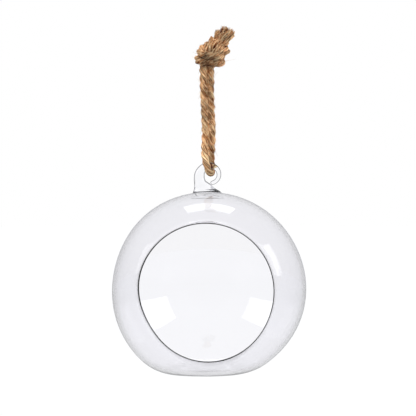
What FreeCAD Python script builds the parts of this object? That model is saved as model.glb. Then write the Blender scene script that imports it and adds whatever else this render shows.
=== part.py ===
import FreeCAD, Part

import math
import os

import Sketcher

# A hanging propagation vase: a blown glass globe with a round mouth in front, a glass eye curled
# on its crown, and a loop of twine that is tied off above in an overhand knot. Millimetres. +X is
# to the right of someone who looks into the mouth, +Y is away from them and +Z is up. The origin
# is the place that the vase hangs from: between the two legs of twine, right under the knot.

Vector = FreeCAD.Vector
Rotation = FreeCAD.Rotation
Placement = FreeCAD.Placement
X_AXIS = Vector(1, 0, 0)
Y_AXIS = Vector(0, 1, 0)
Z_AXIS = Vector(0, 0, 1)
FULL_TURN = 360.0
QUARTER_TURN = math.pi / 2

doc = FreeCAD.newDocument("propagation_vase")

# Driving dimensions
SIZES = [
    # how far the eye hangs under the origin
    ("eye_drop", 54.0),
    # the blown globe, how far its foot is pressed in, and how much glass shows round its mouth
    ("globe_diameter", 100.0),
    ("globe_wall", 1.5),
    ("foot_press", 5.1),
    ("foot_wall", 2.2),
    ("foot_edge_radius", 28.5),
    ("mouth_margin", 15.5),
    ("lip_bead", 2.5),
    # the eye: how high its lowest turn lies over the crown, and its place beside and behind the
    # globe's middle
    ("eye_lift", 3.55),
    ("eye_side_shift", 1.1),
    ("eye_balance_shift", 6.7),
    ("eye_diameter", 6.2),
    # the glass cane that curls round the eye, and the gob that it is drawn from
    ("stem_diameter", 5.3),
    ("tip_diameter", 2.1),
    ("gob_diameter", 18.4),
    ("gob_side_shift", -0.3),
    # the twine and its knot: the core, and how far each wrap stands out of it, under or over its
    # middle
    ("twine_diameter", 3.6),
    ("knot_width", 12.2),
    ("knot_thickness", 9.6),
    ("knot_length", 14.6),
    ("knot_lift", 6.9),
    ("knot_side_shift", 0.6),
    ("wrap_thickness", 4.2),
    ("low_wrap_bulge", 1.8),
    ("low_wrap_drop", 2.2),
    ("high_wrap_bulge", 1.1),
    ("high_wrap_rise", 2.3),
    ("high_wrap_side_shift", 1.5),
    # the two cut ends above the knot
    ("long_end_length", 8.6),
    ("long_end_flare", 5.2),
    ("short_end_length", 7.0),
    ("short_end_flare", 4.3),
    # one overrun for all cuts
    ("overrun", 5.0),
]

# Sizes that follow from the driving ones
DERIVED = [
    ("globe_radius", "=globe_diameter / 2"),
    ("foot_depth", "=globe_radius - foot_press"),
    ("lip_ring_radius", "=globe_radius - mouth_margin + lip_bead / 2"),
    ("lip_depth", "=sqrt((globe_radius - globe_wall / 2)^2 - lip_ring_radius^2)"),
    ("eye_radius", "=eye_diameter / 2"),
    ("stem_radius", "=stem_diameter / 2"),
    ("tip_radius", "=tip_diameter / 2"),
    ("gob_radius", "=gob_diameter / 2"),
    ("eye_height", "=globe_radius + eye_lift + tip_radius + eye_radius"),
    ("globe_drop", "=eye_drop + eye_height"),
    ("stem_side_shift", "=eye_side_shift - eye_radius - stem_radius"),
    ("twine_radius", "=twine_diameter / 2"),
    ("wrap_radius", "=wrap_thickness / 2"),
]

# The gob, from under the crown up to the stem. Heights are shares of the way from the crown up to
# the eye's lowest turn, side places are shares of the way from the gob's middle to the stem's, and
# widths are shares of the way from the gob's radius to the stem's.
GOB_SHARES = [
    (-1.13, 0.00, 0.00),
    (-0.67, 0.03, 0.17),
    (-0.39, 0.08, 0.30),
    (-0.11, 0.23, 0.47),
    (0.39, 0.46, 0.66),
    (0.91, 0.70, 0.80),
    (1.47, 0.93, 0.94),
]

# The cane turns this far round the eye, until its tip has sunk into the gob, in this many steps.
# It thins by this power of the turn that is left.
CURL_TURN = 288.0
CURL_STEPS = 9
TAPER_POWER = 2.8

# The lean of the knot and of its two wraps, and which way the cut ends point
KNOT_LEAN = 20.0
LOW_WRAP_TILT = (24.0, 4.0)
HIGH_WRAP_TILT = (-26.0, 16.0)

# The twine's route from the knot down in front of the glass, through the eye and up behind it:
# points chosen by hand, with an arc at each
LOOP_ROUTE = [
    (-2.6, -0.5, 2.0),
    (-2.4, -1.3, -12.0),
    (-1.7, -1.8, -24.0),
    (-1.3, -3.0, -35.5),
    (-2.1, -4.2, -44.0),
    (0.3, -4.4, -53.05),
    (2.0, 4.1, -53.05),
    (1.0, 3.8, -44.5),
    (1.8, 2.7, -34.5),
    (1.4, 1.8, -23.0),
    (0.7, 1.3, -11.5),
    (1.1, 0.5, 2.0),
]
ARC_SHARE = 0.45

# Where the two cut ends leave the knot, as shares of its width, thickness and length, and the way
# that they point
LONG_END_ROOT_SHARES = (0.49, -0.06, 0.81)
LONG_END_AIM = (0.55, -0.12, 0.83)
SHORT_END_ROOT_SHARES = (0.18, 0.09, 0.85)
SHORT_END_AIM = (0.10, 0.12, 0.99)


def fill_sheet():
    sheet = doc.addObject("Spreadsheet::Sheet", "sizes")
    rows = [(alias, str(value)) for alias, value in SIZES] + DERIVED
    for row, (alias, content) in enumerate(rows, start=1):
        sheet.set("A%d" % row, alias)
        sheet.set("B%d" % row, content)
        sheet.setAlias("B%d" % row, alias)
    doc.recompute()
    return sheet


sizes = fill_sheet()


def size(alias):
    return float(sizes.get(alias))


def place(thing, base, rotation=None):
    """Put an object at three formulas of the sheet, turned as asked."""
    if rotation is not None:
        thing.Placement = Placement(Vector(), rotation)
    for axis, formula in zip("xyz", base):
        if formula:
            thing.setExpression("Placement.Base." + axis, formula)


def new_sketch(body, name, role):
    sketch = body.newObject("Sketcher::SketchObject", name)
    plane = next(item for item in body.Origin.OriginFeatures if item.Role == role)
    sketch.AttachmentSupport = [(plane, "")]
    sketch.MapMode = "FlatFace"
    return sketch


def dimension(sketch, name, formula, kind, *where):
    """Add a sketch dimension that follows a formula of the sheet."""
    index = sketch.addConstraint(Sketcher.Constraint(kind, *where))
    sketch.renameConstraint(index, name)
    sketch.setExpression("Constraints." + name, formula)


def flattened_outline(sketch, radius, depth, edge, radius_rule, depth_rule, edge_rule):
    """Half of a circle that is pressed flat at its foot, closed along the vertical axis."""
    flat = math.sqrt((radius - edge) ** 2 - (depth - edge) ** 2)
    turn = math.atan2(edge - depth, flat)
    side = Part.Circle(Vector(), Z_AXIS, radius)
    rounding = Part.Circle(Vector(flat, edge - depth), Z_AXIS, edge)
    sketch.addGeometry(Part.ArcOfCircle(side, turn, QUARTER_TURN))
    sketch.addGeometry(Part.ArcOfCircle(rounding, -QUARTER_TURN, turn))
    sketch.addGeometry(Part.LineSegment(Vector(flat, -depth), Vector(0, -depth)))
    sketch.addGeometry(Part.LineSegment(Vector(0, -depth), Vector(0, radius)))
    sketch.addConstraint([
        Sketcher.Constraint("Coincident", 0, 3, -1, 1),
        Sketcher.Constraint("Tangent", 0, 1, 1, 2),
        Sketcher.Constraint("Tangent", 1, 1, 2, 1),
        Sketcher.Constraint("Coincident", 2, 2, 3, 1),
        Sketcher.Constraint("Coincident", 3, 2, 0, 2),
        Sketcher.Constraint("PointOnObject", 3, 1, -2),
        Sketcher.Constraint("PointOnObject", 3, 2, -2),
        Sketcher.Constraint("Horizontal", 2),
    ])
    dimension(sketch, "side_radius", radius_rule, "Radius", 0, radius)
    dimension(sketch, "edge_radius", edge_rule, "Radius", 1, edge)
    dimension(sketch, "foot", depth_rule, "DistanceY", 2, 2, -1, 1, depth)


def glass_globe():
    """The blown bubble: a wall of even thickness, a pressed foot, and a beaded mouth in front."""
    body = doc.addObject("PartDesign::Body", "glass_globe")
    body.Label = "glass_globe"
    place(body, ("", "-sizes.eye_balance_shift", "-sizes.globe_drop"))

    outside = new_sketch(body, "outside_of_the_bubble", "XZ_Plane")
    flattened_outline(outside, size("globe_radius"), size("foot_depth"), size("foot_edge_radius"),
                      "sizes.globe_radius", "sizes.foot_depth", "sizes.foot_edge_radius")
    bubble = body.newObject("PartDesign::Revolution", "bubble")
    bubble.Profile = outside
    bubble.ReferenceAxis = (outside, ["V_Axis"])
    bubble.Angle = FULL_TURN
    doc.recompute()

    inside = new_sketch(body, "inside_of_the_bubble", "XZ_Plane")
    flattened_outline(inside, size("globe_radius") - size("globe_wall"),
                      size("foot_depth") - size("foot_wall"),
                      size("foot_edge_radius") - size("globe_wall"),
                      "sizes.globe_radius - sizes.globe_wall",
                      "sizes.foot_depth - sizes.foot_wall",
                      "sizes.foot_edge_radius - sizes.globe_wall")
    hollow = body.newObject("PartDesign::Groove", "hollow")
    hollow.Profile = inside
    hollow.ReferenceAxis = (inside, ["V_Axis"])
    hollow.Angle = FULL_TURN
    doc.recompute()

    mouth_ring = new_sketch(body, "mouth_ring", "XZ_Plane")
    mouth_ring.addGeometry(Part.Circle(Vector(), Z_AXIS, size("lip_ring_radius")))
    mouth_ring.addConstraint(Sketcher.Constraint("Coincident", 0, 3, -1, 1))
    dimension(mouth_ring, "ring_radius", "sizes.lip_ring_radius", "Radius", 0, size("lip_ring_radius"))
    mouth = body.newObject("PartDesign::Pocket", "mouth")
    mouth.Profile = mouth_ring
    mouth.Reversed = True
    mouth.setExpression("Length", "sizes.globe_radius + sizes.overrun")
    doc.recompute()

    bead_round = new_sketch(body, "bead_round", "YZ_Plane")
    bead_middle = Vector(-size("lip_depth"), size("lip_ring_radius"))
    bead_round.addGeometry(Part.Circle(bead_middle, Z_AXIS, size("lip_bead") / 2))
    dimension(bead_round, "bead_radius", "sizes.lip_bead / 2", "Radius", 0, size("lip_bead") / 2)
    dimension(bead_round, "depth", "sizes.lip_depth", "DistanceX", 0, 3, -1, 1, size("lip_depth"))
    dimension(bead_round, "reach", "sizes.lip_ring_radius", "DistanceY", -1, 1, 0, 3,
              size("lip_ring_radius"))
    bead = body.newObject("PartDesign::Revolution", "lip_bead")
    bead.Profile = bead_round
    bead.ReferenceAxis = (bead_round, ["H_Axis"])
    bead.Angle = FULL_TURN
    doc.recompute()
    return body


def cane_section(name, radius, side, height, lean):
    """One round section of the cane, in the plane of the eye."""
    section = doc.addObject("Part::Circle", name)
    section.setExpression("Radius", radius)
    place(section, (side, "", height + " - sizes.globe_drop"), Rotation(Y_AXIS, lean))
    return section


def curl_radius(share):
    return "(sizes.tip_radius + (sizes.stem_radius - sizes.tip_radius) * %.5f)" % share


def skin_through(name, sections):
    skin = doc.addObject("Part::Loft", name)
    skin.Sections = sections
    skin.Solid = True
    skin.Ruled = False
    return skin


def glass_hook():
    """The gob on the crown, drawn out into a cane that thins as it curls round the eye."""
    gob_sections = []
    for index, (height, side, width) in enumerate(GOB_SHARES):
        gob_sections.append(cane_section(
            "gob_section_%d" % index,
            "sizes.gob_radius + (sizes.stem_radius - sizes.gob_radius) * %.3f" % width,
            "sizes.gob_side_shift + (sizes.stem_side_shift - sizes.gob_side_shift) * %.3f" % side,
            "sizes.globe_radius + sizes.eye_lift * %.3f" % height, 0))

    curl_sections = []
    for step in range(CURL_STEPS + 1):
        turned = CURL_TURN * step / CURL_STEPS
        radius = curl_radius((1 - step / CURL_STEPS) ** TAPER_POWER)
        way = "(sizes.eye_radius + %s)" % radius
        across = -math.cos(math.radians(turned))
        up = math.sin(math.radians(turned))
        side = "sizes.eye_side_shift + %s * %.6f" % (way, across)
        height = "sizes.eye_height + %s * %.6f" % (way, up)
        curl_sections.append(cane_section("curl_section_%d" % step, radius, side, height, turned))

    gob = skin_through("gob", gob_sections + curl_sections[:1])
    curl = skin_through("curl", curl_sections)
    cane = doc.addObject("Part::Fuse", "cane")
    cane.Base = gob
    cane.Tool = curl

    seat = doc.addObject("Part::Sphere", "crown_seat")
    seat.setExpression("Radius", "sizes.globe_radius")
    place(seat, ("", "-sizes.eye_balance_shift", "-sizes.globe_drop"))

    hook = doc.addObject("Part::Cut", "glass_hook")
    hook.Label = "glass_hook"
    hook.Base = cane
    hook.Tool = seat
    hook.Placement = Placement()
    return hook


def rounded_route(points):
    """Straight runs joined by arcs that are as large as the runs allow."""
    corners = []
    for before, here, after in zip(points, points[1:], points[2:]):
        back = before - here
        on = after - here
        turn = math.pi - back.getAngle(on)
        shorter = min(back.Length, on.Length)
        radius = ARC_SHARE * shorter / math.tan(turn / 2)
        reach = ARC_SHARE * shorter
        start = here + back.normalize() * reach
        end = here + on.normalize() * reach
        inward = (back + on).normalize()
        middle = here + inward * (math.hypot(radius, reach) - radius)
        corners.append((start, middle, end))
        print("turn %.0f degrees, radius %.1f" % (math.degrees(turn), radius))
    edges = []
    last = points[0]
    for start, middle, end in corners:
        edges.append(Part.LineSegment(last, start).toShape())
        edges.append(Part.Arc(start, middle, end).toShape())
        last = end
    edges.append(Part.LineSegment(last, points[-1]).toShape())
    return Part.Wire(edges)


def rope_loop():
    """The hanging loop: one length of twine from the knot through the glass eye and back."""
    route = rounded_route([Vector(*point) for point in LOOP_ROUTE])
    first = route.Edges[0]
    start = first.valueAt(first.FirstParameter)
    heading = first.tangentAt(first.FirstParameter)
    ring = Part.Wire(Part.makeCircle(size("twine_radius"), start, heading))
    tube = route.makePipeShell([ring], True, False)
    loop = doc.addObject("Part::Feature", "rope_loop")
    loop.Label = "rope_loop"
    loop.Shape = tube
    loop.Placement = Placement()
    expected = math.pi * size("twine_radius") ** 2 * route.Length
    print("loop length %.1f, volume share %.4f" % (route.Length, tube.Volume / expected))
    return loop


def knot_wrap(name, bulge, side, lift, tilt):
    wrap = doc.addObject("Part::Torus", name)
    wrap.setExpression("Radius1", "sizes.knot_width / 2 - sizes.wrap_radius + " + bulge)
    wrap.setExpression("Radius2", "sizes.wrap_radius")
    over, sideways = tilt
    place(wrap, (side, "", lift), Rotation(X_AXIS, over) * Rotation(Y_AXIS, sideways))
    return wrap


def rope_knot():
    """The overhand knot: a leaning core of twine with the two wraps that cross over it."""
    core = doc.addObject("Part::Ellipsoid", "knot_core")
    core.setExpression("Radius1", "sizes.knot_length / 2")
    core.setExpression("Radius2", "sizes.knot_width / 2")
    core.setExpression("Radius3", "sizes.knot_thickness / 2")
    place(core, ("sizes.knot_side_shift", "", "sizes.knot_lift"), Rotation(Y_AXIS, KNOT_LEAN))
    low = knot_wrap("low_wrap", "sizes.low_wrap_bulge", "",
                    "sizes.knot_lift - sizes.low_wrap_drop", LOW_WRAP_TILT)
    high = knot_wrap("high_wrap", "sizes.high_wrap_bulge", "sizes.high_wrap_side_shift",
                     "sizes.knot_lift + sizes.high_wrap_rise", HIGH_WRAP_TILT)
    knot = doc.addObject("Part::MultiFuse", "rope_knot")
    knot.Label = "rope_knot"
    knot.Shapes = [core, low, high]
    knot.Placement = Placement()
    return knot


def cut_end(name, root_shares, aim, length, flare):
    """A cut end of the twine, opened out where its strands come loose."""
    across, back, up = root_shares
    end = doc.addObject("Part::Cone", name)
    end.Label = name
    end.setExpression("Radius1", "sizes.twine_radius")
    end.setExpression("Radius2", flare + " / 2")
    end.setExpression("Height", length)
    place(end, ("sizes.knot_width * %.2f" % across, "sizes.knot_thickness * %.2f" % back,
                "sizes.knot_length * %.2f" % up), Rotation(Z_AXIS, Vector(*aim)))
    return end


parts = [
    glass_globe(),
    glass_hook(),
    rope_loop(),
    rope_knot(),
    cut_end("rope_tail_left", SHORT_END_ROOT_SHARES, SHORT_END_AIM,
            "sizes.short_end_length", "sizes.short_end_flare"),
    cut_end("rope_tail_right", LONG_END_ROOT_SHARES, LONG_END_AIM,
            "sizes.long_end_length", "sizes.long_end_flare"),
]
doc.recompute()

for item in doc.Objects:
    if "Invalid" in item.State or "Error" in item.State:
        raise RuntimeError("%s did not build" % item.Label)
for part in parts:
    if part.Shape.isNull() or not part.Shape.isValid():
        raise RuntimeError("%s is not a valid solid" % part.Label)

os.makedirs("parts", exist_ok=True)
for part in parts:
    part.Shape.exportStep("parts/%s.step" % part.Label)
    box = part.Shape.BoundBox
    print("%s: %d solid, %.1f mm3, x %.1f to %.1f, y %.1f to %.1f, z %.1f to %.1f" % (
        part.Label, len(part.Shape.Solids), part.Shape.Volume,
        box.XMin, box.XMax, box.YMin, box.YMax, box.ZMin, box.ZMax))
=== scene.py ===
import math

import bmesh
import bpy
import numpy as np
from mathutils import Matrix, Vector


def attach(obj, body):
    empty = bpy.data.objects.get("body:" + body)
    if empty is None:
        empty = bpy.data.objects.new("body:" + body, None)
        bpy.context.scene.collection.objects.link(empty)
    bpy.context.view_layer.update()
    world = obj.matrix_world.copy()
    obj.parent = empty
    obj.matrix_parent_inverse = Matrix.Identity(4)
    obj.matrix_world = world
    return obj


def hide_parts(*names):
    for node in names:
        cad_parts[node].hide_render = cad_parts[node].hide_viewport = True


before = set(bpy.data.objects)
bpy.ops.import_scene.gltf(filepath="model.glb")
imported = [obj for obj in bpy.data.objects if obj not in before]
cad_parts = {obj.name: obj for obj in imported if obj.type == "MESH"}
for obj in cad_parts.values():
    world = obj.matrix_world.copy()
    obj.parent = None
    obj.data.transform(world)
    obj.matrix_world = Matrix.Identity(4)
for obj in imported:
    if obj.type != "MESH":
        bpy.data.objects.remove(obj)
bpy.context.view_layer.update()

# A hanging propagation vase: a hand-blown glass globe with a fire-polished mouth in front and a
# pressed foot, a glass cane curled into an eye on its crown, and a loop of three-ply jute twine
# that is tied off above in one overhand knot with two frayed ends. Metres. +Y is away from
# someone who looks into the mouth.

MM = 0.001
MERGE_DISTANCE = 0.00001
SMOOTH_ANGLE = math.radians(50)

# The globe
GLOBE_MIDDLE = Vector((0, -6.7, -111.7)) * MM
GLOBE_RADIUS = 50.0 * MM
GLOBE_WALL = 1.5 * MM
INNER_RADIUS = GLOBE_RADIUS - GLOBE_WALL
BUBBLE_SHRINK = 0.012
WALL_STEPS = 96
SPIN_STEPS = 192
FOOT_DEPTH = 44.9 * MM
FOOT_WALL = 1.6 * MM
FOOT_EDGE = 28.5 * MM
FOOT_LEAN = math.radians(-2.0)

# The mouth
RIM_EDGE_MIDDLE = 34.73 * MM
RIM_EDGE_RADIUS = 0.39 * MM
RIM_EDGE_STEPS = 16
RIM_TAPER_RADIUS = 7.0 * MM
RIM_TAPER_END = math.radians(22)
RIM_TAPER_STEPS = 12
# where the mouth reaches further or less: degrees round it, how narrow, and by how much
MOUTH_PULLS = ((285, 4, 0.049), (208, 8, -0.040))
MOUTH_PULL_START = math.radians(45)
MOUTH_PULL_BLEND = math.radians(40)
# where the wall is thinner at the mouth, how narrow that is, and the share that is missing
THIN_TOWARDS = Vector((0.2, 0, -0.98))
THIN_SHARPNESS = 1.5
THIN_START = math.radians(46)
THIN_BLEND = math.radians(15)
THIN_SHARE = 0.31

# The eye on the crown
EYE_MIDDLE = Vector((1.1, 0, -54.0)) * MM
EYE_RADIUS = 3.1 * MM
STEM_RADIUS = 2.65 * MM
TIP_RADIUS = 1.05 * MM
GOB_RADIUS = 8.6 * MM
GOB_MIDDLE = -0.4 * MM
CROWN = GLOBE_MIDDLE.z + GLOBE_RADIUS
CURL_TURN = math.radians(257)
CURL_STEPS = 64
CURL_TAPER = 2.6
HOOK_AROUND = 56
GOB_ROWS = 34
GOB_FLATTENING = 0.45
# the seat's floor and the gob's underside lie this far over the inner wall
SEAT_FLOOR = 0.20 * MM
GOB_FLOOR = 0.17 * MM
GOB_OVERLAP = 0.02 * MM
SEAT_SHARES = (0.25, 0.5, 0.75, 1.0)
TIP_SHARES = (0.35, 0.62, 0.82, 0.95)
# the height over the crown where the cane's edges begin to be painted dark, and how soon they do in
# thin cane
DARK_START = 1.3
DARK_BLEND = 1.6
DARK_POWER = 0.55
# the gob's rings: middle across, radius, height, and how level they are
GOB_RINGS = [
    (-0.4, 8.6, 0.0, 0.0), (-0.5, 8.0, 0.08, 0.0), (-0.7, 7.3, 0.35, 0.05),
    (-1.1, 6.5, 0.75, 0.35), (-1.7, 5.65, 0.75, 0.8), (-2.3, 4.95, 1.5, 1.0),
    (-2.8, 4.45, 2.45, 1.0), (-3.55, 3.75, 3.6, 1.0), (-4.35, 3.05, 4.6, 1.0),
    (-4.65, 2.72, 6.0, 1.0), (-4.65, 2.65, 7.7, 1.0),
]

# The twine
TWINE_RADIUS = 1.8 * MM
PLY_RADIUS = 0.94 * MM
PLY_REACH = 0.90 * MM
AROUND_PLY = 18
AROUND_FIBRE = 5
LAY_LENGTH = 13.0 * MM
YARN_LAY_SHARE = 0.9
YARN_RIBS = 5
YARN_RIB_DEPTH = 0.075
PLY_FUZZ = 0.05
STRAND_SIDE = (1, 0.2, 0.1)
# below this height the hook's eye moves past the twine, and the fibres lie flat
NEAR_EYE = -45.0 * MM
LOOP_STEP = 0.4 * MM
LOOP_FIBRES = 760
KNOT_STEP = 0.45 * MM
KNOT_FIBRES = 640
KNOT_SQUEEZE = 1.10
KNOT_PLACES = 90
HAIR_STEP = 0.5 * MM
LOOP_HAIRS = 210
KNOT_HAIRS = 60
LEG_FIBRES = 90
SETTLE_ROUNDS = 160
SETTLED_SHARE = 0.94
PUSH_SHARE = 0.3
EVENING_SHARE = 0.18
LOOP_ROUTE = [
    (-2.6, -0.5, 2.0), (-2.4, -1.3, -12.0), (-1.7, -1.8, -24.0), (-1.3, -3.0, -35.5),
    (-2.1, -4.2, -44.0), (0.3, -4.4, -53.05), (2.0, 4.1, -53.05), (1.0, 3.8, -44.5),
    (1.8, 2.7, -34.5), (1.4, 1.8, -23.0), (0.7, 1.3, -11.5), (1.1, 0.5, 2.0),
]

# The picture and the floor
PICTURE_SIDE = 416 * 0.509 * MM  # 416 pixels of 0.509 mm
CAMERA_DISTANCE = 3.0
SENSOR_WIDTH = 36.0
FLOOR_RADIUS = 9.0
FLOOR_HEIGHT = -0.36

rng = np.random.default_rng(7)


# Small helpers for the modelled pieces

def clean_start():
    if bpy.context.mode != "OBJECT":
        bpy.ops.object.mode_set(mode="OBJECT")
    bpy.ops.object.select_all(action="DESELECT")


def mesh_piece(name, points, faces):
    mesh = bpy.data.meshes.new(name)
    mesh.from_pydata([tuple(p) for p in points], [], faces)
    mesh.update()
    piece = bpy.data.objects.new(name, mesh)
    bpy.context.scene.collection.objects.link(piece)
    return piece


def activate(piece):
    clean_start()
    piece.select_set(True)
    bpy.context.view_layer.objects.active = piece


def finish_surface(piece, material):
    """Smooth shading up to a sharp edge, and the piece's one material."""
    activate(piece)
    bpy.ops.object.shade_smooth_by_angle(angle=SMOOTH_ANGLE)
    piece.data.materials.append(material)


def face_outwards(piece):
    """Turn a closed piece's faces outwards, with its doubles merged."""
    activate(piece)
    bpy.ops.object.mode_set(mode="EDIT")
    bpy.ops.mesh.select_all(action="SELECT")
    bpy.ops.mesh.remove_doubles(threshold=MERGE_DISTANCE)
    bpy.ops.mesh.normals_make_consistent(inside=False)
    shape = bmesh.from_edit_mesh(piece.data)
    if shape.calc_volume(signed=True) < 0:
        bpy.ops.mesh.flip_normals()
    bpy.ops.object.mode_set(mode="OBJECT")


def tube_faces(rows, around):
    """Four-sided faces between the rings of a tube, ring after ring."""
    faces = []
    for row in range(rows - 1):
        for step in range(around):
            a = row * around + step
            b = row * around + (step + 1) % around
            faces.append((a, b, b + around, a + around))
    return faces


def tube_points(middle, sides, ups, size, around):
    """A ring of points round each place of a line, as wide as size says."""
    angle = np.arange(around) * math.tau / around
    ring = (middle[:, None, :]
            + sides[:, None, :] * (np.cos(angle)[None, :] * size)[:, :, None]
            + ups[:, None, :] * (np.sin(angle)[None, :] * size)[:, :, None])
    return ring.reshape(-1, 3)


def clamp(value, low, high):
    return max(low, min(high, value))


# Small helpers for materials

def new_material(name):
    """A material with its node tree and its shader."""
    material = bpy.data.materials.new(name)
    material.use_nodes = True
    return material, material.node_tree, material.node_tree.nodes["Principled BSDF"]


def set_inputs(node, values):
    for name, value in values.items():
        node.inputs[name].default_value = value


def maths(tree, operation, *values):
    """The output of a Math node that is fed by numbers or by the outputs of other nodes."""
    node = tree.nodes.new("ShaderNodeMath")
    node.operation = operation
    for socket, value in zip(node.inputs, values):
        if isinstance(value, bpy.types.NodeSocket):
            tree.links.new(value, socket)
        else:
            socket.default_value = value
    return node.outputs[0]


def vector_maths(tree, operation, vector):
    node = tree.nodes.new("ShaderNodeVectorMath")
    node.operation = operation
    tree.links.new(vector, node.inputs[0])
    return node


def ranged(tree, value, span, levels, interpolation="SMOOTHSTEP"):
    """The output of a Map Range node from a span of values to two levels."""
    node = tree.nodes.new("ShaderNodeMapRange")
    node.interpolation_type = interpolation
    set_inputs(node, {"From Min": span[0], "From Max": span[1],
                      "To Min": levels[0], "To Max": levels[1]})
    tree.links.new(value, node.inputs["Value"])
    return node.outputs["Result"]


def color_ramp(tree, value, *stops):
    """A Color Ramp node between its first and last stop, each a position and a colour."""
    node = tree.nodes.new("ShaderNodeValToRGB")
    for index, (position, color) in enumerate(stops):
        node.color_ramp.elements[index].position = position
        node.color_ramp.elements[index].color = color
    tree.links.new(value, node.inputs["Fac"])
    return node


# Glass

def clear_glass(name):
    """Clear soda glass with a faint lavender tint, a little deeper where there is more of it."""
    glass, tree, body = new_material(name)
    set_inputs(body, {"Base Color": (0.938, 0.936, 0.956, 1), "Transmission Weight": 1.0,
                      "Roughness": 0.0, "IOR": 1.5})
    inside = tree.nodes.new("ShaderNodeVolumeAbsorption")
    set_inputs(inside, {"Color": (0.30, 0.30, 0.38, 1), "Density": 8.0})
    tree.links.new(inside.outputs["Volume"], tree.nodes["Material Output"].inputs["Volume"])
    return glass


def cane_glass():
    """The same glass for the solid cane, its edges painted dark in its colour: painted shade in
    place of the dark that a solid rod's edges bend and mirror. The thinner the cane, the sooner
    they turn."""
    glass = clear_glass("clear_glass_cane")
    tree = glass.node_tree
    body = tree.nodes["Principled BSDF"]
    body.inputs["IOR"].default_value = 1.28
    edge = tree.nodes.new("ShaderNodeLayerWeight")
    edge.inputs["Blend"].default_value = 0.5
    side = tree.nodes.new("ShaderNodeNewGeometry")
    thinness = tree.nodes.new("ShaderNodeAttribute")
    thinness.attribute_name = "thinness"
    outside = maths(tree, "SUBTRACT", 1.0, side.outputs["Backfacing"])
    painted_edge_shade = maths(tree, "MULTIPLY", edge.outputs["Facing"], outside)
    painted_edge_shade_by_thinness = maths(tree, "MULTIPLY", painted_edge_shade, thinness.outputs["Fac"])
    # painted shade: the base colour runs from clear to near black towards the cane's outward edges,
    # sooner where it is thin
    tones = color_ramp(tree, painted_edge_shade_by_thinness, (0.34, (0.955, 0.955, 0.965, 1)),
                       (0.64, (0.03, 0.03, 0.035, 1)))
    tree.links.new(tones.outputs["Color"], body.inputs["Base Color"])
    return glass


def flattened_reach(slope, radius, depth, edge):
    """How far a globe pressed flat at its foot reaches in a direction, slope over the horizon."""
    flat = math.sqrt((radius - edge) ** 2 - (depth - edge) ** 2)
    turn = math.atan2(edge - depth, flat)
    flat_turn = math.atan2(-depth, flat)
    if slope >= turn:
        return radius
    if slope <= flat_turn:
        return depth / -math.sin(slope)
    along = flat * math.cos(slope) + (edge - depth) * math.sin(slope)
    return along + math.sqrt(along ** 2 - flat ** 2 - (depth - edge) ** 2 + edge ** 2)


def blown_drift(direction):
    """Slight unevenness of a bubble that was turned and pressed by hand, as a share of its
    radius."""
    # each row: a direction, how narrow the unevenness is there, and how far it goes out or in
    uneven = (
        ((0.42, 0.0, -0.91), 6, -0.028),
        ((-0.97, 0.0, 0.24), 8, -0.016),
        ((1.0, 0.0, -0.05), 8, 0.010),
        ((0.0, 0.0, 1.0), 8, -0.006),
        ((0.0, -1.0, 0.1), 4, 0.008),
        ((0.3, 1.0, 0.2), 4, 0.006),
        ((-0.66, 0.0, -0.75), 10, 0.008),
    )
    drift = 1 - BUBBLE_SHRINK
    for way, sharpness, depth in uneven:
        drift += depth * max(0.0, direction.dot(Vector(way).normalized())) ** sharpness
    return drift


def seen_from_mouth(way):
    """A direction as its angle from the mouth's axis and its bearing round that axis."""
    return math.acos(clamp(-way.y, -1.0, 1.0)), Vector((way.x, 0, way.z)).normalized()


def mouth_out_of_round(way):
    """The mouth was opened by hand: it reaches further at the lower right and less at the lower
    left."""
    polar, around = seen_from_mouth(way)
    reach = 0.0
    for degrees, sharpness, more in MOUTH_PULLS:
        aim = Vector((math.cos(math.radians(degrees)), 0, math.sin(math.radians(degrees))))
        reach += more * max(0.0, around.dot(aim)) ** sharpness
    near = max(0.0, 1 - max(0.0, polar - MOUTH_PULL_START) / MOUTH_PULL_BLEND)
    polar += reach * near * near * (3 - 2 * near)
    return Vector((0, -math.cos(polar), 0)) + around * math.sin(polar)


def thinner_below(way):
    """How much of its thickness the wall loses near the lower part of the mouth."""
    polar, around = seen_from_mouth(way)
    lower = max(0.0, around.dot(THIN_TOWARDS)) ** THIN_SHARPNESS
    near = clamp(1 - (polar - THIN_START) / THIN_BLEND, 0.0, 1.0)
    return THIN_SHARE * lower * near * near * (3 - 2 * near)


def polished_rim():
    """Across and forward, the rim's section: the wall thins gently, then turns over tightly."""
    edge_slope = math.asin(RIM_EDGE_MIDDLE / (INNER_RADIUS + RIM_EDGE_RADIUS))
    edge_forward = RIM_EDGE_MIDDLE / math.tan(edge_slope)
    back = RIM_EDGE_RADIUS - RIM_TAPER_RADIUS
    taper_middle = RIM_EDGE_MIDDLE + back * math.sin(RIM_TAPER_END)
    taper_forward = edge_forward + back * math.cos(RIM_TAPER_END)
    taper_start = math.atan2(taper_middle, taper_forward)
    rim = []
    for step in range(RIM_TAPER_STEPS + 1):
        turn = taper_start + (RIM_TAPER_END - taper_start) * step / RIM_TAPER_STEPS
        rim.append((taper_middle + RIM_TAPER_RADIUS * math.sin(turn),
                    taper_forward + RIM_TAPER_RADIUS * math.cos(turn)))
    for step in range(1, RIM_EDGE_STEPS + 1):
        turn = RIM_TAPER_END + (edge_slope - math.pi - RIM_TAPER_END) * step / RIM_EDGE_STEPS
        rim.append((RIM_EDGE_MIDDLE + RIM_EDGE_RADIUS * math.sin(turn),
                    edge_forward + RIM_EDGE_RADIUS * math.cos(turn)))
    return rim


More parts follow.
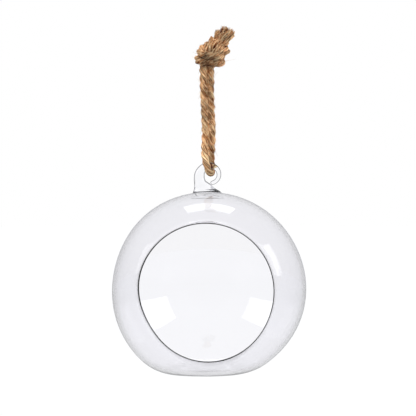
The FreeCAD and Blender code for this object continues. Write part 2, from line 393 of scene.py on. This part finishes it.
def globe_section():
    """Across and forward: the outer wall from the back, the polished rim, the inner wall."""
    rim = polished_rim()
    outer_stop = math.atan2(*rim[0])
    inner_stop = math.atan2(*rim[-1])
    section = []
    for step in range(WALL_STEPS):
        turn = math.pi - (math.pi - outer_stop) * step / WALL_STEPS
        section.append((GLOBE_RADIUS * math.sin(turn), GLOBE_RADIUS * math.cos(turn)))
    section += rim
    for step in range(1, WALL_STEPS + 1):
        turn = inner_stop + (math.pi - inner_stop) * step / WALL_STEPS
        section.append((INNER_RADIUS * math.sin(turn), INNER_RADIUS * math.cos(turn)))
    return section


def glass_globe(glass):
    """The shell is spun round the mouth's axis. Then it is made a little uneven, its foot is
    pressed flat and a shallow seat is cut for the gob of the hook."""
    points = [(r, -forward, 0.0) for r, forward in globe_section()]
    piece = mesh_piece("blown_glass_globe", points, [])
    mesh = piece.data
    mesh.edges.add(len(points) - 1)
    for index in range(len(points) - 1):
        mesh.edges[index].vertices = (index, index + 1)
    mesh.update()
    activate(piece)
    bpy.ops.object.mode_set(mode="EDIT")
    bpy.ops.mesh.select_all(action="SELECT")
    bpy.ops.mesh.spin(steps=SPIN_STEPS, angle=math.tau, center=(0, 0, 0), axis=(0, 1, 0))
    bpy.ops.object.mode_set(mode="OBJECT")
    face_outwards(piece)

    inner_depth = FOOT_DEPTH - FOOT_WALL
    inner_edge = FOOT_EDGE - GLOBE_WALL
    up_from_foot = Vector((-math.sin(FOOT_LEAN), 0, math.cos(FOOT_LEAN)))
    for vertex in mesh.vertices:
        way = mouth_out_of_round(vertex.co.normalized())
        slope = math.asin(clamp(way.dot(up_from_foot), -1.0, 1.0))
        outer = flattened_reach(slope, GLOBE_RADIUS, FOOT_DEPTH, FOOT_EDGE)
        inner = flattened_reach(slope, INNER_RADIUS, inner_depth, inner_edge)
        share = (vertex.co.length - INNER_RADIUS) / GLOBE_WALL * (1 - thinner_below(way))
        reach = inner + (outer - inner) * share
        vertex.co = GLOBE_MIDDLE + way * reach * blown_drift(way)
    mesh.update()
    cut_seat(piece)
    finish_surface(piece, glass)
    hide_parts("glass_globe")
    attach(piece, "vessel")


def skin(name, rings):
    """A closed piece through rings of as many points each, with a point at either end."""
    around = len(rings[0])
    points = [point for ring in rings for point in ring]
    faces = tube_faces(len(rings), around)
    for row in (0, len(rings) - 1):
        points.append(sum(rings[row], Vector()) / around)
        for step in range(around):
            faces.append((row * around + step, row * around + (step + 1) % around,
                          len(points) - 1))
    piece = mesh_piece(name, points, faces)
    face_outwards(piece)
    return piece


def gob_depth(radius):
    """The gob was pressed on sideways, so it reaches less far to the front and back."""
    return STEM_RADIUS + (radius - STEM_RADIUS) * GOB_FLATTENING


def above_globe(x, y, radius):
    """The height of the globe's outer or inner wall over a spot near its crown."""
    across = Vector((x, y, 0)) - Vector((GLOBE_MIDDLE.x, GLOBE_MIDDLE.y, 0))
    reach = radius
    for closer in range(4):
        rise = math.sqrt(reach ** 2 - across.length_squared)
        reach = radius * blown_drift((across + Vector((0, 0, rise))).normalized())
    return GLOBE_MIDDLE.z + math.sqrt(reach ** 2 - across.length_squared)


def seat_rings(gap, radius):
    """Rings of the seat's floor, close over the inner wall."""
    rings = []
    for share in SEAT_SHARES:
        ring = []
        for step in range(HOOK_AROUND):
            turn = math.tau * step / HOOK_AROUND
            x = GOB_MIDDLE + radius * share * math.cos(turn)
            y = gob_depth(radius) * share * math.sin(turn)
            ring.append(Vector((x, y, above_globe(x, y, INNER_RADIUS) + gap)))
        rings.append(ring)
    return rings


def cut_seat(globe):
    """The gob was melted into the wall, so the wall is thin under it."""
    rings = seat_rings(SEAT_FLOOR, GOB_RADIUS)
    rings.append([Vector((point.x, point.y, EYE_MIDDLE.z)) for point in rings[-1]])
    cutter = skin("gob_seat_cutter", rings)
    activate(globe)
    cut = globe.modifiers.new("seat", "BOOLEAN")
    cut.operation = "DIFFERENCE"
    cut.solver = "EXACT"
    cut.object = cutter
    bpy.ops.object.modifier_apply(modifier="seat")
    bpy.data.objects.remove(cutter)


def gob_ring(middle, radius, height, level):
    """One ring of the gob: low down it follows the wall, where the cane begins it is level."""
    ring = []
    for step in range(HOOK_AROUND):
        turn = math.tau * step / HOOK_AROUND
        x = (middle + radius * math.cos(turn)) * MM
        y = gob_depth(radius * MM) * math.sin(turn)
        on_wall = above_globe(x, y, GLOBE_RADIUS) + height * MM
        ring.append(Vector((x, y, on_wall * (1 - level) + (CROWN + height * MM) * level)))
    return ring


def glass_hook(glass):
    """A gob of glass melted onto the crown, drawn up into a cane that thins and curls round the
    eye until its tip rests on the gob."""
    rings = seat_rings(GOB_FLOOR, GOB_RADIUS + GOB_OVERLAP)
    # how thin the cane is, ring by ring, which sets how soon its edges are painted dark: none in
    # the gob, more than one towards the tip
    thin = [0.0] * len(rings)
    knots = chord_knots([row[:3] for row in GOB_RINGS])
    for row in smooth_through(GOB_RINGS, knots, GOB_ROWS):
        rings.append(gob_ring(*row))
        thin.append(clamp((row[2] - DARK_START) / DARK_BLEND, 0.0, 1.0))
    for step in range(1, CURL_STEPS + 1):
        taper = (1 - step / CURL_STEPS) ** CURL_TAPER
        radius = TIP_RADIUS + (STEM_RADIUS - TIP_RADIUS) * taper
        rings.append(cane_ring(CURL_TURN * step / CURL_STEPS, radius, EYE_RADIUS + radius))
        thin.append((STEM_RADIUS / radius) ** DARK_POWER)
    for share in TIP_SHARES:
        rings.append(cane_ring(CURL_TURN, TIP_RADIUS * math.sqrt(1 - share ** 2),
                               EYE_RADIUS + TIP_RADIUS, TIP_RADIUS * share))
        thin.append(thin[-1])
    piece = skin("pulled_glass_hook", rings)
    thinness = piece.data.attributes.new("thinness", "FLOAT", "POINT")
    for index in range(len(piece.data.vertices)):
        thinness.data[index].value = thin[min(index // HOOK_AROUND, len(thin) - 1)]
    finish_surface(piece, glass)
    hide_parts("glass_hook")
    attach(piece, "vessel")


def cane_ring(turned, radius, bend, further=0.0):
    """One ring of the curled cane, as far round the eye as it is turned, or a little further
    on. Its middle runs round the eye at the radius of the bend."""
    out = Vector((-math.cos(turned), 0, math.sin(turned)))
    heading = Vector((math.sin(turned), 0, math.cos(turned)))
    middle = EYE_MIDDLE + out * bend + heading * further
    ring = []
    for step in range(HOOK_AROUND):
        turn = math.tau * step / HOOK_AROUND
        aside = Vector((0, radius * math.sin(turn), 0))
        ring.append(middle - out * radius * math.cos(turn) + aside)
    return ring


# Twine

def fibre_noise(tree, place, scale, detail):
    """A Noise Texture node over a place."""
    node = tree.nodes.new("ShaderNodeTexNoise")
    set_inputs(node, {"Scale": scale, "Detail": detail})
    tree.links.new(place, node.inputs["Vector"])
    return node


def jute():
    """Coarse jute: tan fibres that run along each ply, with pale and dark streaks. On the knot's
    lower front they are painted darker: painted shade where the knot's underside is in shadow."""
    twine, tree, body = new_material("natural_jute")
    uv = tree.nodes.new("ShaderNodeUVMap")
    uv.uv_map = "along_ply"
    streak_scale = tree.nodes.new("ShaderNodeMapping")
    streak_scale.inputs["Scale"].default_value = (12.0, 115.0, 1.0)
    tree.links.new(uv.outputs["UV"], streak_scale.inputs["Vector"])
    streaks = fibre_noise(tree, streak_scale.outputs["Vector"], 1.0, 3.0)
    streaks.inputs["Roughness"].default_value = 0.65
    tones = color_ramp(tree, streaks.outputs["Fac"], (0.45, (0.095, 0.017, 0.002, 1)),
                       (0.555, (0.98, 0.765, 0.46, 1)))
    tones.color_ramp.elements.new(0.5).color = (0.78, 0.335, 0.125, 1)

    place = tree.nodes.new("ShaderNodeTexCoord").outputs["Object"]
    patches = fibre_noise(tree, place, 190.0, 2.0)
    blotch = ranged(tree, patches.outputs["Fac"], (0.3, 0.7), (0.62, 1.40), "LINEAR")
    # painted shade: the base colour darkens towards a spot on the knot's lower front, in place of
    # the shadow under the knot
    from_knot_shade_spot = vector_maths(tree, "DISTANCE", place)
    from_knot_shade_spot.inputs[1].default_value = (0.6 * MM, -6.5 * MM, 4.2 * MM)
    painted_knot_shade = ranged(tree, from_knot_shade_spot.outputs["Value"], (2.4 * MM, 8.0 * MM), (0.43, 1.0))
    shade = vector_maths(tree, "SCALE", tones.outputs["Color"])
    tree.links.new(maths(tree, "MULTIPLY", blotch, painted_knot_shade), shade.inputs["Scale"])
    tree.links.new(shade.outputs["Vector"], body.inputs["Base Color"])

    bump = tree.nodes.new("ShaderNodeBump")
    set_inputs(bump, {"Strength": 0.7, "Distance": 0.00025})
    tree.links.new(streaks.outputs["Fac"], bump.inputs["Height"])
    tree.links.new(bump.outputs["Normal"], body.inputs["Normal"])
    set_inputs(body, {"Roughness": 0.88, "Specular IOR Level": 0.15, "Sheen Weight": 0.03,
                      "Sheen Roughness": 0.5})
    return twine


def route_points():
    """The loop's smooth line, read from a spline through its route."""
    line = bpy.data.curves.new("loop_line", "CURVE")
    line.dimensions = "3D"
    line.resolution_u = 40
    spline = line.splines.new("NURBS")
    spline.points.add(len(LOOP_ROUTE) - 1)
    for point, place in zip(spline.points, LOOP_ROUTE):
        point.co = (place[0] * MM, place[1] * MM, place[2] * MM, 1)
    spline.order_u = 3
    spline.use_endpoint_u = True
    holder = bpy.data.objects.new("loop_line", line)
    bpy.context.scene.collection.objects.link(holder)
    mesh = bpy.data.meshes.new_from_object(holder)
    points = np.array([vertex.co[:] for vertex in mesh.vertices])
    bpy.data.objects.remove(holder)
    bpy.data.meshes.remove(mesh)
    return points


def even_steps(points, step):
    """The same line in even steps, and how far along it each step is."""
    runs = np.linalg.norm(np.diff(points, axis=0), axis=1)
    along = np.concatenate([[0], np.cumsum(runs)])
    count = max(2, int(round(along[-1] / step)) + 1)
    wanted = np.linspace(0, along[-1], count)
    places = [np.interp(wanted, along, points[:, axis]) for axis in range(3)]
    return np.stack(places, axis=1), wanted


def carried_frames(line, first_side):
    """Heading, side and up vectors that a strand carries along its line without twisting."""
    heading = np.gradient(line, axis=0)
    heading /= np.linalg.norm(heading, axis=1)[:, None]
    side = np.array(first_side, float)
    sides = []
    for way in heading:
        side = side - way * side.dot(way)
        side /= np.linalg.norm(side)
        sides.append(side.copy())
    sides = np.array(sides)
    return heading, sides, np.cross(heading, sides)


def lay_ply(line, along, phase, swell, tag, reach=PLY_REACH):
    """One ply wound round the line, its yarns showing as shallow ribs. Returns its points, faces
    and uv corners."""
    sides, ups = carried_frames(line, STRAND_SIDE)[1:]
    turn = -math.tau * along / LAY_LENGTH + phase
    out = np.cos(turn)[:, None] * sides + np.sin(turn)[:, None] * ups
    middle = line + out * (reach * swell)[:, None]
    ply_sides, ply_ups = carried_frames(middle, out[0])[1:]
    rows = len(line)
    angle = np.arange(AROUND_PLY) * math.tau / AROUND_PLY
    yarn_turn = math.tau * along / (LAY_LENGTH * YARN_LAY_SHARE)
    bumps = np.cos(YARN_RIBS * (angle[None, :] + yarn_turn[:, None]) + tag)
    drift = rng.standard_normal((rows, AROUND_PLY)).cumsum(axis=0)
    ribs = 1 + YARN_RIB_DEPTH * bumps
    fuzz = 1 + PLY_FUZZ * drift / np.sqrt(rows)
    size = PLY_RADIUS * swell[:, None] * ribs * fuzz
    points = tube_points(middle, ply_sides, ply_ups, size, AROUND_PLY)
    faces = tube_faces(rows, AROUND_PLY)
    uvs = []
    for row in range(rows - 1):
        twist = along[row] / LAY_LENGTH * YARN_LAY_SHARE
        next_twist = along[row + 1] / LAY_LENGTH * YARN_LAY_SHARE
        for step in range(AROUND_PLY):
            left = step / AROUND_PLY
            right = (step + 1) / AROUND_PLY
            uvs.append(((left + twist + tag, along[row]), (right + twist + tag, along[row]),
                        (right + next_twist + tag, along[row + 1]),
                        (left + next_twist + tag, along[row + 1])))
    for row, hub in ((0, len(points)), (rows - 1, len(points) + 1)):
        for step in range(AROUND_PLY):
            a = row * AROUND_PLY + step
            b = row * AROUND_PLY + (step + 1) % AROUND_PLY
            faces.append((b, a, hub) if row == 0 else (a, b, hub))
            left = step / AROUND_PLY + tag
            uvs.append(((left, along[row]), ((step + 1) / AROUND_PLY + tag, along[row]),
                        (left, along[row] + 0.0005)))
    return np.vstack([points, middle[[0, -1]]]), faces, uvs


def joined_piece(name, shells, material):
    """One piece from several shells of points, faces and uv corners."""
    points = []
    faces = []
    corners = []
    for shell_points, shell_faces, shell_uvs in shells:
        start = len(points)
        points.extend(shell_points.tolist())
        faces.extend(tuple(index + start for index in face) for face in shell_faces)
        for face_uv in shell_uvs:
            corners.extend(face_uv)
    piece = mesh_piece(name, points, faces)
    layer = piece.data.uv_layers.new(name="along_ply")
    layer.data.foreach_set("uv", np.array(corners, dtype=np.float32).ravel())
    finish_surface(piece, material)
    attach(piece, "twine")
    return piece


def strand_shells(line, along, tag, squeeze, fibres):
    """Three plies along a line, and the fibres that lie on them."""
    swell = np.ones(len(line)) * squeeze
    plies = [lay_ply(line, along, phase * math.tau / 3 + tag, swell, tag + phase * 1.7)
             for phase in range(3)]
    return plies + lying_fibres(line, along, tag, fibres, squeeze)


def lying_fibres(line, along, tag, count, squeeze):
    """Single fibres that lie along the plies and lift off a little at their free end."""
    sides, ups = carried_frames(line, STRAND_SIDE)[1:]
    spacing = along[1] - along[0]
    ply_reach = PLY_REACH * squeeze
    ply_radius = PLY_RADIUS * squeeze
    shells = []
    for fibre in range(count):
        length = rng.uniform(3.5, 11.0) * MM
        reach = int(length / spacing)
        first = rng.integers(0, max(1, len(line) - reach - 1))
        spots = np.linspace(first, first + reach, 8).astype(int)
        spots = np.unique(np.clip(spots, 0, len(line) - 1))
        if len(spots) < 4:
            continue
        share = np.linspace(0, 1, len(spots))
        if rng.random() < 0.5:
            share = share[::-1]
        aside = rng.uniform(-1.0, 1.0) + rng.uniform(-0.5, 0.5) * share
        inner = np.maximum(ply_radius ** 2 - (ply_reach * np.sin(aside)) ** 2,
                           (0.5 * ply_radius) ** 2)
        lift = (0.03 + rng.uniform(0, 0.45) * share ** 3) * MM
        thickness = rng.uniform(0.06, 0.17) * MM
        if line[spots, 2].min() < NEAR_EYE:
            lift = np.full(len(spots), -0.05 * MM)
            thickness = min(thickness, 0.08 * MM)
        out = ply_reach * np.cos(aside) + np.sqrt(inner) + lift
        ply_turn = rng.integers(0, 3) * math.tau / 3
        turn = -math.tau * along[spots] / LAY_LENGTH + ply_turn + tag + aside
        path = (line[spots] + sides[spots] * (np.cos(turn) * out)[:, None]
                + ups[spots] * (np.sin(turn) * out)[:, None])
        shells.append(fibre_shell(path, thickness, fibre * 0.43))
    return shells


def rope_loop(material, line):
    fine, along = even_steps(line, LOOP_STEP)
    return joined_piece("twine_loop", strand_shells(fine, along, 0.3, 1.0, LOOP_FIBRES), material)


def knot_frame():
    """Where the knot starts, and its axis, which leans to the upper right, with its right and
    back directions."""
    axis = Vector((0.30, 0.0, 0.954)).normalized()
    back = Vector((0, 1, 0))
    right = back.cross(axis).normalized()
    return Vector((-0.75, 0, 0)) * MM, right, back, axis


def chord_knots(places):
    """How far along a line its chosen places lie, for smooth_through."""
    spans = np.linalg.norm(np.diff(np.array(places, float), axis=0), axis=1) ** 0.5
    return np.concatenate([[0], np.cumsum(spans)])


def smooth_through(places, knots, count):
    """A smooth line through a few chosen places."""
    places = np.array(places, float)
    slopes = np.gradient(places, knots, axis=0)
    wanted = np.linspace(0, knots[-1], count)
    index = np.clip(np.searchsorted(knots, wanted, side="right") - 1, 0, len(knots) - 2)
    width = (knots[index + 1] - knots[index])
    t = ((wanted - knots[index]) / width)[:, None]
    w = width[:, None]
    return ((2 * t ** 3 - 3 * t ** 2 + 1) * places[index]
            + (t ** 3 - 2 * t ** 2 + t) * w * slopes[index]
            + (-2 * t ** 3 + 3 * t ** 2) * places[index + 1]
            + (t ** 3 - t ** 2) * w * slopes[index + 1])


def knot_strands():
    """Both strands of the overhand knot. They come up in front of the core, turn over to the right,
    wind once round behind and across the front, tuck in at the back and leave at the top."""
    start, right, back, axis = (np.array(vector) for vector in knot_frame())
    # each row: across, back and up in millimetres, then the way from one strand to the other
    core_side = (1, 0.1, 0)
    route = [
        ((0.0, -0.3, 0.5), core_side),
        ((0.0, -1.2, 4.0), core_side),
        ((0.0, -2.4, 8.6), (0.9, 0, -0.3)),
        ((1.6, -3.6, 12.0), (0.5, 0.2, -0.9)),
        ((5.4, -1.0, 12.6), (0.1, 0, -1)),
        ((5.0, 3.8, 11.6), (0, 0, -1)),
        ((0.0, 5.4, 10.6), (0, 0, -1)),
        ((-5.4, 3.4, 8.4), (0, 0, -1)),
        ((-7.4, -0.8, 4.2), (-0.1, 0, -1)),
        ((-4.4, -5.0, 3.0), (0.1, -0.1, -1)),
        ((0.2, -6.2, 5.0), (0.1, -0.2, -1)),
        ((4.2, -4.4, 8.2), (0.5, 0.2, -0.8)),
        ((5.2, 0.2, 9.2), (0.7, 0, -0.7)),
        ((3.2, 3.4, 7.8), (0.8, 0, -0.6)),
        ((0.8, 2.6, 9.0), (1, 0, -0.2)),
        ((0.8, 1.9, 10.6), core_side),
        ((1.4, 1.2, 13.0), core_side),
        ((2.2, 0.6, 15.0), core_side),
    ]
    knots = chord_knots([place for place, way in route])
    middle = smooth_through([place for place, way in route], knots, KNOT_PLACES)
    way = smooth_through([way for place, way in route], knots, KNOT_PLACES)
    way /= np.linalg.norm(way, axis=1)[:, None]
    half_gap = 1.72
    lines = []
    for hand in (-1, 1):
        local = middle + way * (half_gap * hand)
        turned = local[:, :1] * right + local[:, 1:2] * back + local[:, 2:] * axis
        lines.append(start + turned * MM)
    return settle_strands(lines)


def settle_strands(lines):
    """Push strands apart until they only touch, with their ends held."""
    count = len(lines[0])
    spots = np.concatenate(lines)
    strand = np.repeat([0, 1], count)
    step = np.tile(np.arange(count), 2)
    first, second = np.triu_indices(2 * count, 1)
    spacing = np.linalg.norm(lines[0][1] - lines[0][0])
    skip = int(math.ceil(2 * TWINE_RADIUS * 1.5 / spacing))
    far = ~((strand[first] == strand[second]) & (np.abs(step[first] - step[second]) <= skip))
    first, second = first[far], second[far]
    wanted = 2 * TWINE_RADIUS * SETTLED_SHARE
    held = spots.copy()
    ends = np.zeros(2 * count, bool)
    ends[[0, 1, 2, count, count + 1, count + 2]] = True
    for settling in range(SETTLE_ROUNDS):
        gap = spots[second] - spots[first]
        length = np.linalg.norm(gap, axis=1)
        close = length < wanted
        push = (PUSH_SHARE * (wanted - length[close]) / length[close])[:, None] * gap[close]
        np.add.at(spots, first[close], -push)
        np.add.at(spots, second[close], push)
        for low in (0, count):
            line = spots[low:low + count]
            line[1:-1] += EVENING_SHARE * (0.5 * (line[:-2] + line[2:]) - line[1:-1])
        spots[ends] = held[ends]
    return [spots[:count], spots[count:]]


def rope_knot(material, lines):
    shells = []
    for index, line in enumerate(lines):
        fine, along = even_steps(line, KNOT_STEP)
        shells += strand_shells(fine, along, 1.1 + 2.0 * index, KNOT_SQUEEZE, KNOT_FIBRES)
    piece = joined_piece("twine_knot", shells, material)
    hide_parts("rope_knot")
    return piece


def frayed_end(name, node, material, root, aim, length, flare, hairs, seed):
    """A cut end: three plies that open out into loose fibres round a dark hollow."""
    chance = np.random.default_rng(seed)
    root = np.array(root) * MM
    aim = np.array(aim, float)
    aim /= np.linalg.norm(aim)
    side = np.cross(aim, (0, 1, 0))
    side /= np.linalg.norm(side)
    up = np.cross(side, aim)
    shells = []
    ply_reach = PLY_REACH / MM
    share = np.linspace(0, 1, 16)
    for ply in range(3):
        spread = (ply_reach + (flare / 2 - ply_reach - 0.7) * share ** 1.5) * MM
        angle = ply * math.tau / 3 + 0.5 - share * 1.6
        line = (root + aim * (share * length * 0.8 * MM)[:, None]
                + side * (np.cos(angle) * spread)[:, None]
                + up * (np.sin(angle) * spread)[:, None])
        swell = 1 - 0.45 * share ** 2
        shells.append(lay_ply(line, share * length * MM, 0.0, swell, ply * 1.3, reach=0.0))
    share = np.linspace(0, 1, 7)
    for hair in range(hairs):
        turn = chance.uniform(0, math.tau)
        rank = chance.uniform(0.45, 1.0)
        end_reach = flare / 2 * rank * chance.uniform(0.9, 1.12)
        start_share = chance.uniform(0.0, 0.35)
        stop_share = chance.uniform(0.86, 1.04) * (1.10 - 0.14 * rank)
        curl = chance.uniform(-1.3, -0.4)
        height = (start_share + (stop_share - start_share) * share) * length
        opened = 1.2 * rank + (end_reach - 1.2 * rank) * (height / length) ** 1.2
        reach = opened * (1 - 0.2 * share ** 4) + 0.12 * np.sin(share * 6 + turn * 3)
        angle = turn + curl * share
        line = (root + aim * (height * MM)[:, None]
                + side * (np.cos(angle) * reach * MM)[:, None]
                + up * (np.sin(angle) * reach * MM)[:, None])
        shells.append(fibre_shell(line, chance.uniform(0.10, 0.2) * MM, hair * 0.37))
    piece = joined_piece(name, shells, material)
    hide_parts(node)
    return piece


def fibre_shell(line, thickness, tag):
    """One loose fibre: a thin tube that tapers at its free end. Returns its points, faces and uv
    corners."""
    sides, ups = carried_frames(line, (0.3, 1, 0.2))[1:]
    rows = len(line)
    taper = thickness * (1 - 0.65 * np.linspace(0, 1, rows) ** 2)
    tall = 0.0006
    uvs = []
    for row in range(rows - 1):
        low = row * tall
        for step in range(AROUND_FIBRE):
            left = tag + step * 0.01
            uvs.append(((left, low), (left + 0.01, low), (left + 0.01, low + tall),
                        (left, low + tall)))
    points = tube_points(line, sides, ups, taper[:, None], AROUND_FIBRE)
    return points, tube_faces(rows, AROUND_FIBRE), uvs


def standing_hairs(path, count):
    """Short hairs that stand off a strand, with a longer one now and then."""
    heading, sides, ups = carried_frames(path, STRAND_SIDE)
    share = np.linspace(0, 1, 7)
    shells = []
    for hair in range(count):
        spot = rng.integers(3, len(path) - 4)
        turn = rng.uniform(0, math.tau)
        if path[spot][2] < NEAR_EYE:
            continue
        out = math.cos(turn) * sides[spot] + math.sin(turn) * ups[spot]
        tangent = heading[spot] * rng.choice([-1, 1])
        length = (rng.uniform(1.2, 4.2) if hair % 12 else rng.uniform(4.0, 7.5)) * MM
        rise = rng.uniform(0.15, 0.85)
        bend = np.cross(out, tangent) * rng.uniform(-0.6, 0.6)
        start = path[spot] + out * TWINE_RADIUS * 0.86
        line = (start + tangent * (share * length)[:, None]
                + out * (rise * length * share ** 1.6)[:, None] * 0.7
                + bend * (length * share ** 2)[:, None] * 0.6)
        shells.append(fibre_shell(line, rng.uniform(0.035, 0.075) * MM, hair * 0.21))
    return shells


def fibres_between_legs(count):
    """Fibres that hang between the loop's two legs, right under the knot."""
    share = np.linspace(0, 1, 7)
    shells = []
    for fibre in range(count):
        start = np.array((rng.uniform(-1.4, -0.1), rng.uniform(-1.5, 0.9),
                          rng.uniform(-8.0, 2.0))) * MM
        aim = np.array((rng.uniform(-0.16, 0.20), rng.uniform(-0.1, 0.1), -1.0))
        drop = aim * rng.uniform(2.5, 6.0) * MM
        sway = np.sin(share * math.pi) * rng.uniform(-0.3, 0.3) * MM
        line = start + drop * share[:, None] + np.array((1.0, 0.3, 0.0)) * sway[:, None]
        shells.append(fibre_shell(line, rng.uniform(0.07, 0.18) * MM, fibre * 0.31))
    return shells


def loose_fibres(material, line, knot_lines):
    """Everything that stands off the twine or hangs between its legs."""
    shells = standing_hairs(even_steps(line, HAIR_STEP)[0], LOOP_HAIRS)
    for knot_line in knot_lines:
        shells += standing_hairs(knot_line, KNOT_HAIRS)
    shells += fibres_between_legs(LEG_FIBRES)
    return joined_piece("loose_twine_fibres", shells, material)


# The studio

def seen_through(tree, full, after_reflection):
    """One for a ray from the camera or out of the glass, and the level that it sees: the full one
    straight through, a little less where it was reflected inside the glass."""
    path = tree.nodes.new("ShaderNodeLightPath")
    clear = maths(tree, "MAXIMUM", path.outputs["Is Camera Ray"],
                  path.outputs["Is Transmission Ray"])
    reflected = maths(tree, "GREATER_THAN", path.outputs["Glossy Depth"], 0.5)
    level = maths(tree, "MULTIPLY_ADD", reflected, after_reflection - full, full)
    return path, clear, level


def pale_floor():
    """Pale paper far below the vase. It looks white to the camera and through the glass. Glass
    that mirrors it sees it glow a little, less so further out."""
    clean_start()
    bpy.ops.mesh.primitive_circle_add(vertices=96, radius=FLOOR_RADIUS, fill_type="NGON",
                                      location=(0, 0, FLOOR_HEIGHT))
    floor = bpy.context.object
    floor.name = "studio_floor"
    paper, tree, body = new_material("white_paper")
    set_inputs(body, {"Base Color": (0.32, 0.32, 0.325, 1), "Roughness": 1.0,
                      "Specular IOR Level": 0.0, "Emission Color": (1, 1, 1, 1)})
    path, through, level = seen_through(tree, 0.67, 0.47)
    plain = maths(tree, "MULTIPLY", through, level)
    place = tree.nodes.new("ShaderNodeTexCoord").outputs["Object"]
    away = vector_maths(tree, "LENGTH", place).outputs["Value"]
    near = ranged(tree, away, (0.2, 2.4), (0.32, 0.20))
    only_mirrored = maths(tree, "GREATER_THAN", path.outputs["Is Glossy Ray"],
                          path.outputs["Is Transmission Ray"])
    mirrored = maths(tree, "MULTIPLY", only_mirrored, near)
    tree.links.new(maths(tree, "ADD", plain, mirrored), body.inputs["Emission Strength"])
    floor.data.materials.append(paper)


def background(tree, strength, color=(1, 1, 1, 1)):
    node = tree.nodes.new("ShaderNodeBackground")
    set_inputs(node, {"Color": color, "Strength": strength})
    return node


def mixed(tree, share, first, second):
    """The output of a Mix Shader node."""
    node = tree.nodes.new("ShaderNodeMixShader")
    tree.links.new(share, node.inputs["Fac"])
    tree.links.new(first, node.inputs[1])
    tree.links.new(second, node.inputs[2])
    return node.outputs[0]


def studio_world():
    """White all round for what is seen straight or through the glass. Reflections see a room that
    is pale overhead and grey at its sides."""
    world = bpy.data.worlds.new("white_studio")
    bpy.context.scene.world = world
    world.use_nodes = True
    tree = world.node_tree
    tree.nodes.clear()
    place = tree.nodes.new("ShaderNodeTexCoord")
    split = tree.nodes.new("ShaderNodeSeparateXYZ")
    tree.links.new(place.outputs["Generated"], split.inputs["Vector"])
    height = split.outputs["Z"]
    tones = color_ramp(tree, height, (0.10, (0.60, 0.60, 0.635, 1)),
                       (0.80, (0.86, 0.86, 0.88, 1)))
    tones.color_ramp.interpolation = "EASE"
    room = background(tree, 1.0)
    tree.links.new(tones.outputs["Color"], room.inputs["Color"])
    even = background(tree, 1.12, (0.98, 0.99, 1.0, 1))
    white = background(tree, 1.0)

    path, through, level = seen_through(tree, 1.0, 0.80)
    higher = ranged(tree, height, (0.02, 0.5), (1.0, 1.22))
    tree.links.new(maths(tree, "MULTIPLY", level, higher), white.inputs["Strength"])
    soft = mixed(tree, path.outputs["Is Diffuse Ray"], room.outputs[0], even.outputs[0])
    out = tree.nodes.new("ShaderNodeOutputWorld")
    tree.links.new(mixed(tree, through, soft, white.outputs[0]), out.inputs["Surface"])


def softbox(name, towards, distance, width, height, strength):
    """A soft panel of light that faces the globe."""
    light = bpy.data.lights.new(name, "AREA")
    light.shape = "RECTANGLE"
    light.size = width
    light.size_y = height
    light.energy = strength * width * height * math.pi
    lamp = bpy.data.objects.new(name, light)
    direction = Vector(towards).normalized()
    lamp.location = GLOBE_MIDDLE + direction * distance
    lamp.rotation_euler = direction.to_track_quat("Z", "Y").to_euler()
    bpy.context.scene.collection.objects.link(lamp)


def photographer():
    """Almost level with the globe, a little to the right, and far enough to keep it round."""
    azimuth = math.radians(1.9)
    elevation = math.radians(1.6)
    aim = Vector((-0.25, 0, -70.9)) * MM
    camera = bpy.data.cameras.new("photographer")
    camera.sensor_width = SENSOR_WIDTH
    camera.lens = SENSOR_WIDTH * CAMERA_DISTANCE / PICTURE_SIDE
    camera.clip_end = 40.0
    viewer = bpy.data.objects.new("photographer", camera)
    away = Vector((math.sin(azimuth) * math.cos(elevation),
                   -math.cos(azimuth) * math.cos(elevation), math.sin(elevation)))
    viewer.location = aim + away * CAMERA_DISTANCE
    viewer.rotation_euler = away.to_track_quat("Z", "Y").to_euler()
    bpy.context.scene.collection.objects.link(viewer)
    bpy.context.scene.camera = viewer


bpy.context.scene.view_settings.view_transform = "Standard"
photographer()
studio_world()
pale_floor()
softbox("overhead_softbox", (0.0, 0.455, 0.89), distance=1.3, width=0.70, height=0.36,
        strength=1.6)
softbox("right_softbox", (0.89, -0.18, 0.42), distance=1.3, width=1.10, height=0.66,
        strength=1.7)
softbox("left_softbox", (-0.86, -0.26, 0.42), distance=1.3, width=0.95, height=0.60,
        strength=1.4)

glass = clear_glass("clear_blown_glass")
twine = jute()
glass_globe(glass)
glass_hook(cane_glass())

line = route_points()
loop = rope_loop(twine, line)
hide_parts("rope_loop")
strands = knot_strands()
knot = rope_knot(twine, strands)
left_end = frayed_end("short_frayed_end", "rope_tail_left", twine, root=(3.4, 0.9, 10.8),
                      aim=(0.30, 0.10, 0.95), length=8.9, flare=6.6, hairs=220, seed=11)
right_end = frayed_end("long_frayed_end", "rope_tail_right", twine, root=(6.0, -0.6, 10.0),
                       aim=(0.38, -0.10, 0.92), length=11.3, flare=9.2, hairs=400, seed=12)
fibres = loose_fibres(twine, line, strands)
for piece in (loop, knot, left_end, right_end, fibres):
    piece.visible_glossy = False
